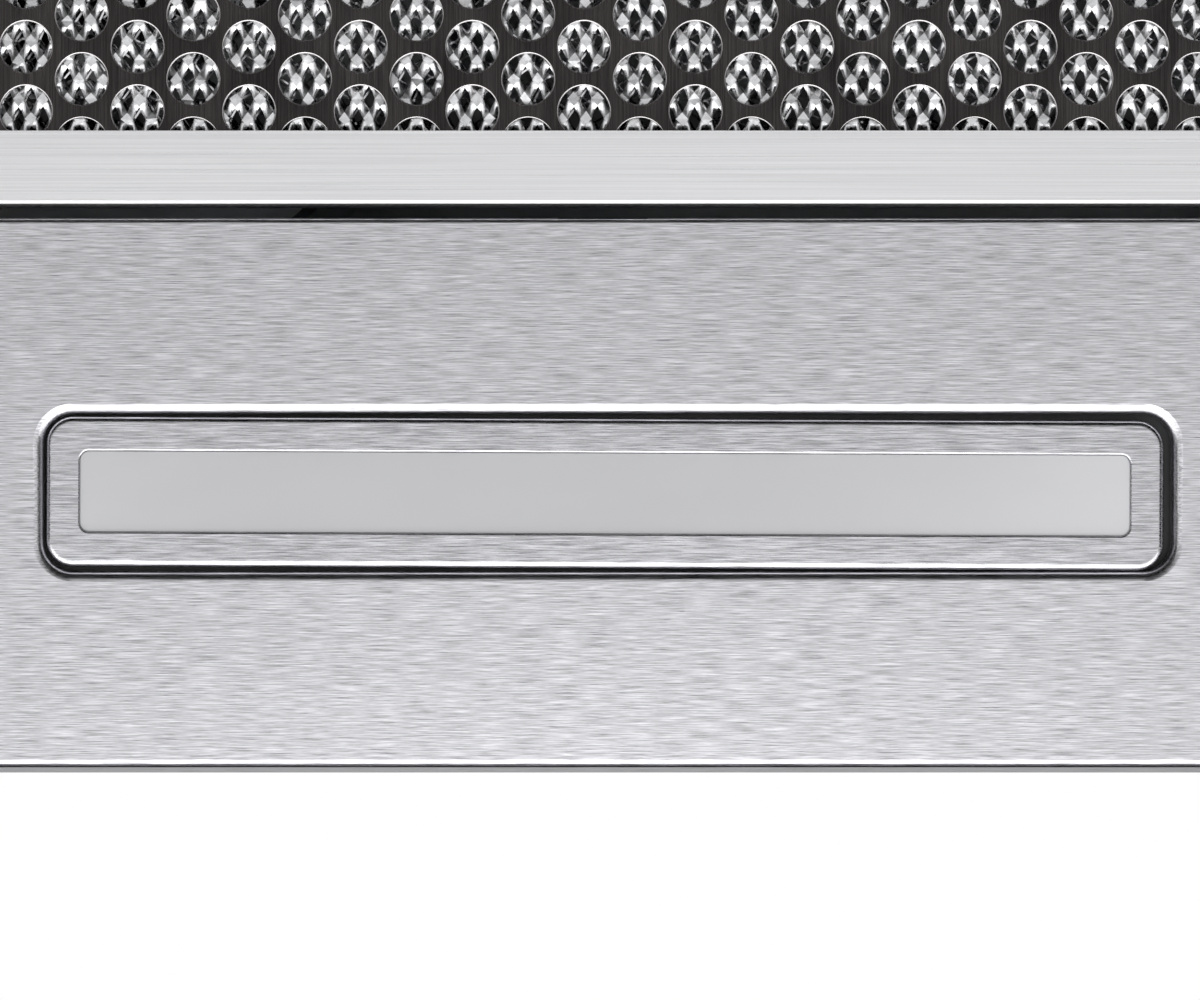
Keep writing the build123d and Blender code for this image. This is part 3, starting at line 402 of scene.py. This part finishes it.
def perforated(side, material, rim_material):
    """The face sheet, with rounded rims on all its holes."""
    node = "filter_plate_" + side
    low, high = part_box(node)
    middle_x = (low.x + high.x) / 2
    case_low, case_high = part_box("filter_latch_case_" + side)
    first_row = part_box("filter_frame_" + side)[1].y - FRAME_LENGTH + FLANGE + FIRST_ROW
    curve = bpy.data.curves.new(node + "_outline", "CURVE")
    curve.dimensions = "2D"
    curve.fill_mode = "BOTH"
    edge = CASE_GAP + RIM
    x0, x1 = low.x + RIM, high.x - RIM
    y0, y1 = low.y + RIM, high.y - RIM
    n0, n1, ny = case_low.x - edge, case_high.x + edge, case_low.y - edge
    add_spline(curve, [(x0, y0), (x1, y0), (x1, y1), (n1, y1), (n1, ny), (n0, ny), (n0, y1), (x0, y1)])
    half_w, half_l = (high.x - low.x) / 2, (high.y - low.y) / 2
    middle_y = (low.y + high.y) / 2
    for i in range(-20, 21):
        x = FIRST_COLUMN + i * COLUMN
        for j in range(-2, 40):
            y = first_row + (i % 2) * PITCH / 2 + j * PITCH
            if abs(x) > half_w - PLATE_MARGIN or abs(y - middle_y) > half_l - PLATE_MARGIN:
                continue
            if abs(x) < CASE_MARGIN[0] and y > case_low.y - CASE_MARGIN[1]:
                continue
            near = abs(x + middle_x - LAMP.x) < NEAR_LAMP[0] and y < first_row + NEAR_LAMP[1]
            count = ROUND if near else COARSE
            r = HOLE_R + RIM
            angles = [k * 2 * math.pi / count for k in range(count)]
            add_spline(curve, [(middle_x + x + r * math.cos(t), y + r * math.sin(t)) for t in angles])
    thick = high.z - low.z
    curve.bevel_depth = RIM
    curve.bevel_resolution = 2
    curve.extrude = thick / 2 - RIM
    holder = bpy.data.objects.new("outline", curve)
    bpy.context.collection.objects.link(holder)
    holder.location = (0, 0, low.z + thick / 2)
    bpy.context.view_layer.update()
    mesh = bpy.data.meshes.new_from_object(holder.evaluated_get(bpy.context.evaluated_depsgraph_get()))
    mesh.transform(holder.matrix_world)
    bpy.data.objects.remove(holder)
    bm = bmesh.new()
    bm.from_mesh(mesh)
    bmesh.ops.remove_doubles(bm, verts=bm.verts, dist=1e-7)
    bmesh.ops.recalc_face_normals(bm, faces=bm.faces)
    bm.to_mesh(mesh)
    bm.free()
    for p in mesh.polygons:
        p.use_smooth = abs(p.normal.z) < 0.99
    link_mesh("perforated_" + side, mesh, material, "filter_" + side, "plate_metal", node)
    mesh.materials.append(rim_material)
    for p in mesh.polygons:
        p.material_index = int(p.use_smooth)


LWD = 6.1 * MM  # the mesh's pitch along and across its openings
SWD = 3.75 * MM
LEAN = 0.42  # how far a loose strand is tipped, in radians
OPENING_X = 0.95 * MM  # half width of an opening in the front sheet
OPENING_Y = 2.0 * MM  # half its length
SHEET_RISE = 0.1 * MM  # how far an opening's sides stand off the sheet's middle
BULGE = 1.1  # how far its sides bow out
DRIFT = np.array((0.07, 0.09, 0.03)) * MM  # how unevenly the openings sit
SHAKE = np.array((0.05, 0.08, 0.025)) * MM  # and the points of their outlines
SWAY, SWAY_X, SWAY_Y = 0.2 * MM, 190.0, 140.0  # the sheet's slow waves: height, and radians a metre


def stretched_sheet(x0, x1, y0, y1, z, hole, thick, seed):
    """The front layer: one slit and stretched sheet. Flat bonds join strands that bow around each opening."""
    rng = np.random.default_rng(seed)
    bm = bmesh.new()
    rim = {}
    cols = int((x1 - x0) / (SWD / 2)) - 1
    rows = int((y1 - y0) / LWD) - 1
    half_x, half_y = OPENING_X * BULGE / 2, OPENING_Y * BULGE / 2
    offsets = {"L": (-OPENING_X, 0, 0), "R": (OPENING_X, 0, 0),
               "T": (0, OPENING_Y, 0), "B": (0, -OPENING_Y, 0),
               "LT": (-half_x, half_y, SHEET_RISE), "RT": (half_x, half_y, SHEET_RISE),
               "LB": (-half_x, -half_y, -SHEET_RISE), "RB": (half_x, -half_y, -SHEET_RISE)}
    for i in range(cols):
        for j in range(rows):
            cx = x0 + (i + 1) * SWD / 2
            cy = y0 + (j + 0.75 + (i % 2) / 2) * LWD
            if hole[0] - SWD < cx < hole[1] + SWD and cy > hole[2] - LWD / 2:
                continue
            sway = SWAY * math.sin(cx * SWAY_X + seed) * math.cos(cy * SWAY_Y)
            drift = rng.normal(0, 1, 3) * DRIFT
            for name, offset in offsets.items():
                shake = rng.normal(0, 1, 3) * SHAKE
                rim[i, j, name] = bm.verts.new(np.array([cx, cy, z + sway]) + offset + drift + shake)

    def face(*corners, bond=False):
        """A strand face, or a bond, which is flat shaded and takes the second material, a darker copy of the
        strands' aluminium as painted shade.
        """
        if all(corner in rim for corner in corners):
            made = bm.faces.new([rim[corner] for corner in corners])
            made.smooth = not bond
            made.material_index = int(bond)

    for i in range(cols):
        for j in range(rows):
            up, down = j + i % 2, j - 1 + i % 2
            here, above, below = (i, j), (i + 1, up), (i + 1, down)
            face((*here, "R"), (*below, "T"), (i + 2, j, "L"), (*above, "B"), bond=True)
            face((*here, "R"), (*above, "B"), (*above, "LB"), (*here, "RT"))
            face((*here, "RT"), (*above, "LB"), (*above, "L"), (*here, "T"))
            face((*here, "R"), (*here, "RB"), (*below, "LT"), (*below, "T"))
            face((*here, "RB"), (*here, "B"), (*below, "L"), (*below, "LT"))
    bmesh.ops.delete(bm, geom=[v for v in bm.verts if not v.link_faces], context="VERTS")
    bmesh.ops.recalc_face_normals(bm, faces=bm.faces)
    bmesh.ops.solidify(bm, geom=bm.faces[:], thickness=thick)
    bmesh.ops.recalc_face_normals(bm, faces=bm.faces)
    mesh = bpy.data.meshes.new("stretched_sheet")
    bm.to_mesh(mesh)
    bm.free()
    return mesh


def expanded(x0, x1, y0, y1, z, hole, strand, thick, wave, seed, bond, shift=(0.0, 0.0), turn=False):
    """A deep layer: tilted strands that join their neighbours in short bonds. hole is a rectangle left out,
    wave is how uneven the layer is, and turn lays the openings across instead of along."""
    rng = np.random.default_rng(seed)
    swd, lwd = (LWD, SWD) if turn else (SWD, LWD)
    cols = int((x1 - x0) / (swd / 2)) + 2
    rows = int((y1 - y0) / lwd) + 2
    i = np.arange(cols)[:, None]
    j = np.arange(rows)[None, :]
    px = x0 + shift[0] + i * swd / 2 + 0 * j
    py = y0 + shift[1] + (j + (i % 2) / 2) * lwd
    px = px + rng.normal(0, 0.09 * MM * wave, px.shape)
    py = py + rng.normal(0, 0.13 * MM * wave, py.shape)
    pz = z + rng.normal(0, 0.16 * MM * wave, px.shape)
    pz = pz + 0.25 * MM * wave * np.sin(px * SWAY_X + seed) * np.cos(py * SWAY_Y + 2 * seed)
    verts, faces = [], []

    def bar(a, b, half, lean):
        """A flat bar from a to b; lean tips its near side down, which turns its face to the front."""
        base = len(verts)
        d = (b - a) / np.linalg.norm(b - a)
        across = np.array([-d[1], d[0], 0.0]) * (1 if d[0] >= 0 else -1)
        w = across * math.cos(lean) - np.array([0, 0, math.sin(lean)])
        up = np.cross(d, w)
        for p in (a, b):
            for su, sw in ((-1, -1), (-1, 1), (1, 1), (1, -1)):
                verts.append(p + w * (sw * half) + up * (su * thick / 2))
        for q in range(4):
            r = (q + 1) % 4
            faces.append((base + q, base + r, base + 4 + r, base + 4 + q))
        faces.append((base + 3, base + 2, base + 1, base))
        faces.append((base + 4, base + 5, base + 6, base + 7))

    def free(p):
        kept_out = hole[0] < p[0] < hole[1] and p[1] > hole[2]
        return x0 < p[0] < x1 and y0 < p[1] < y1 and not kept_out

    half_bond = np.array([0.0, bond, 0.0]) if not turn else np.array([bond, 0.0, 0.0])
    for a in range(cols):
        for b in range(rows):
            here = np.array([px[a, b], py[a, b], pz[a, b]])
            if not free(here):
                continue
            bar(here - half_bond, here + half_bond, strand * 0.56, rng.normal(0.0, 0.08))
            for up in (0, 1):
                c = b + up - (1 - a % 2)
                if a + 1 >= cols or not 0 <= c < rows:
                    continue
                there = np.array([px[a + 1, c], py[a + 1, c], pz[a + 1, c]])
                if not free(there):
                    continue
                sense = 1 if there[1] > here[1] else -1
                step = np.array([0.0, sense * bond, 0.0]) if not turn else np.array([bond, 0.0, 0.0])
                bar(here + step, there - step, strand / 2, rng.normal(LEAN, 0.1))
    mesh = bpy.data.meshes.new("expanded")
    mesh.from_pydata([tuple(v) for v in verts], [], faces)
    mesh.update()
    return mesh


LAYER_INSET = 1.5 * MM
CASE_CLEAR = 1.0 * MM
FRONT_LAYER = (0.95 * MM, 0.24 * MM, 5)  # height over the plate, thickness, seed
STRAND, STRAND_THICK, BOND = 0.3 * MM, 0.2 * MM, 0.2 * MM
DEEP_LAYERS = [  # height over the plate, wave, seed, shift, turn
    (2.7, 2.0, 6, (0.9, 1.7), False),
    (4.6, 2.0, 7, (0.4, 0.8), True),
    (6.3, 1.6, 8, (1.3, 2.6), False),
]


def filter_layers(side, bright, bond_painted_shade, deep):
    """The stack of expanded metal behind the face sheet."""
    node = "filter_mesh_" + side
    low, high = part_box(node)
    case_low, case_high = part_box("filter_latch_case_" + side)
    area = (low.x + LAYER_INSET, high.x - LAYER_INSET, low.y + LAYER_INSET, high.y - LAYER_INSET)
    hole = (case_low.x - CASE_CLEAR, case_high.x + CASE_CLEAR, case_low.y - CASE_CLEAR)
    height, thick, seed = FRONT_LAYER
    front = stretched_sheet(*area, low.z + height, hole, thick, seed)
    link_mesh(f"expanded_{side}_1", front, bright, "filter_" + side, "mesh_aluminium", node)
    front.materials.append(bond_painted_shade)
    for k, (up, wave, seed, shift, turn) in enumerate(DEEP_LAYERS):
        mesh = expanded(*area, low.z + up * MM, hole, STRAND, STRAND_THICK, wave, seed, BOND,
                        (shift[0] * MM, shift[1] * MM), turn)
        link_mesh(f"expanded_{side}_{k + 2}", mesh, deep, "filter_" + side, "mesh_aluminium")


plate_look = painted_dark_plate()
strand_look = mesh_metal("mesh_bright", (0.84, 0.845, 0.86), rough=0.32)
# painted shade: the bonds are the same aluminium as the strands, given a darker copy of its colour
bond_painted_shade = mesh_metal("mesh_bond_painted_shade", (0.4, 0.402, 0.412), rough=0.36)
# painted shade: the deeper layers are the same aluminium, darkened for lying deeper behind the face sheet
deep_painted_shade = mesh_metal("mesh_deep_painted_shade", (0.36, 0.36, 0.37))
rim_look = plain_metal("punched_rim", (0.62, 0.6, 0.6), rough=0.3, turned=False)
for side in ("left", "right"):
    perforated(side, plate_look, rim_look)
    filter_layers(side, strand_look, bond_painted_shade, deep_painted_shade)


# ---------------------------------------------------------------- floor, lights

FLOOR_Z = -1.15
FLOOR_HALF = 9
pale = Nodes("floor_pale", Roughness=0.8)
spots = pale.noise(pale.scaled(pale.position(), (3.0, 3.0, 3.0)), detail=2.0)
pale.put(pale.bsdf.inputs["Base Color"],
         pale.tint((0.78, 0.78, 0.78), pale.spread(spots, 0.3, 0.7, 0.99, 1.01)))
corners = [(x * FLOOR_HALF, y * FLOOR_HALF, FLOOR_Z) for x, y in ((-1, -1), (1, -1), (1, 1), (-1, 1))]
floor_mesh = bpy.data.meshes.new("floor")
floor_mesh.from_pydata(corners, [], [(0, 1, 2, 3)])
floor_mesh.materials.append(pale.mat)
floor = bpy.data.objects.new("floor", floor_mesh)
bpy.context.collection.objects.link(floor)

world = bpy.data.worlds.new("studio")
bpy.context.scene.world = world
world.use_nodes = True
world.node_tree.nodes["Background"].inputs[0].default_value = (1.0, 1.0, 1.0, 1.0)
world.node_tree.nodes["Background"].inputs[1].default_value = 1.0


def soft_light(name, place, target, size_x, size_y, power):
    data = bpy.data.lights.new(name, "AREA")
    data.shape = "RECTANGLE"
    data.size = size_x
    data.size_y = size_y
    data.energy = power
    obj = bpy.data.objects.new(name, data)
    bpy.context.collection.objects.link(obj)
    obj.location = place
    obj.rotation_euler = (Vector(target) - Vector(place)).to_track_quat("-Z", "Y").to_euler()
    obj.visible_camera = False
    return obj


key = soft_light("key_front", (-0.2, -1.3, -0.75), (-0.18, -0.2, -0.14), 1.6, 0.9, 6.0)
key.visible_glossy = False
soft_light("glow_front", (-0.18, -0.56, -1.0), (-0.18, -0.24, -0.14), 0.34, 0.3, 0.7)


CARD_HALF = 1.8
SIDE_CARD = ((1.1, -1.12), (1.4, -0.5), (1.5, 0.45))  # its (x, z) points on the right
SIDE_CARD_Y = (-0.5, 0.9)


def sheet(name, verts, material):
    """A bent card that is seen only in reflections. verts runs along it in pairs."""
    mesh = bpy.data.meshes.new(name)
    faces = [(2 * k, 2 * k + 1, 2 * k + 3, 2 * k + 2) for k in range(len(verts) // 2 - 1)]
    mesh.from_pydata(verts, [], faces)
    mesh.materials.append(material)
    obj = bpy.data.objects.new(name, mesh)
    bpy.context.collection.objects.link(obj)
    obj.visible_camera = False
    obj.visible_diffuse = False
    obj.visible_shadow = False


def card(name, profile, material):
    """A card across the whole scene, from its (y, z) points."""
    sheet(name, [(x, y, z) for y, z in profile for x in (-CARD_HALF, CARD_HALF)], material)


def side_card(name, side, material):
    """A card beside the hood: side is -1 on the left and 1 on the right."""
    sheet(name, [(side * x, y, z) for x, z in SIDE_CARD for y in SIDE_CARD_Y], material)


black = Nodes("card_black", Roughness=1.0, Specular_IOR_Level=0.0)
black.bsdf.inputs["Base Color"].default_value = (0.005, 0.005, 0.005, 1)
card("dark_card", [(0.16, -1.12), (0.75, -0.7), (0.95, 0.45), (0.85, 1.2)], black.mat)
side_card("left_card", -1, black.mat)
side_card("right_card", 1, black.mat)
white = Nodes("card_white", Roughness=1.0, Emission_Strength=1.5)
white.bsdf.inputs["Emission Color"].default_value = (1.0, 1.0, 1.0, 1)
card("bright_card", [(-0.56, -1.12), (-1.3, -0.9), (-1.6, -0.2), (-1.4, 0.7)], white.mat)
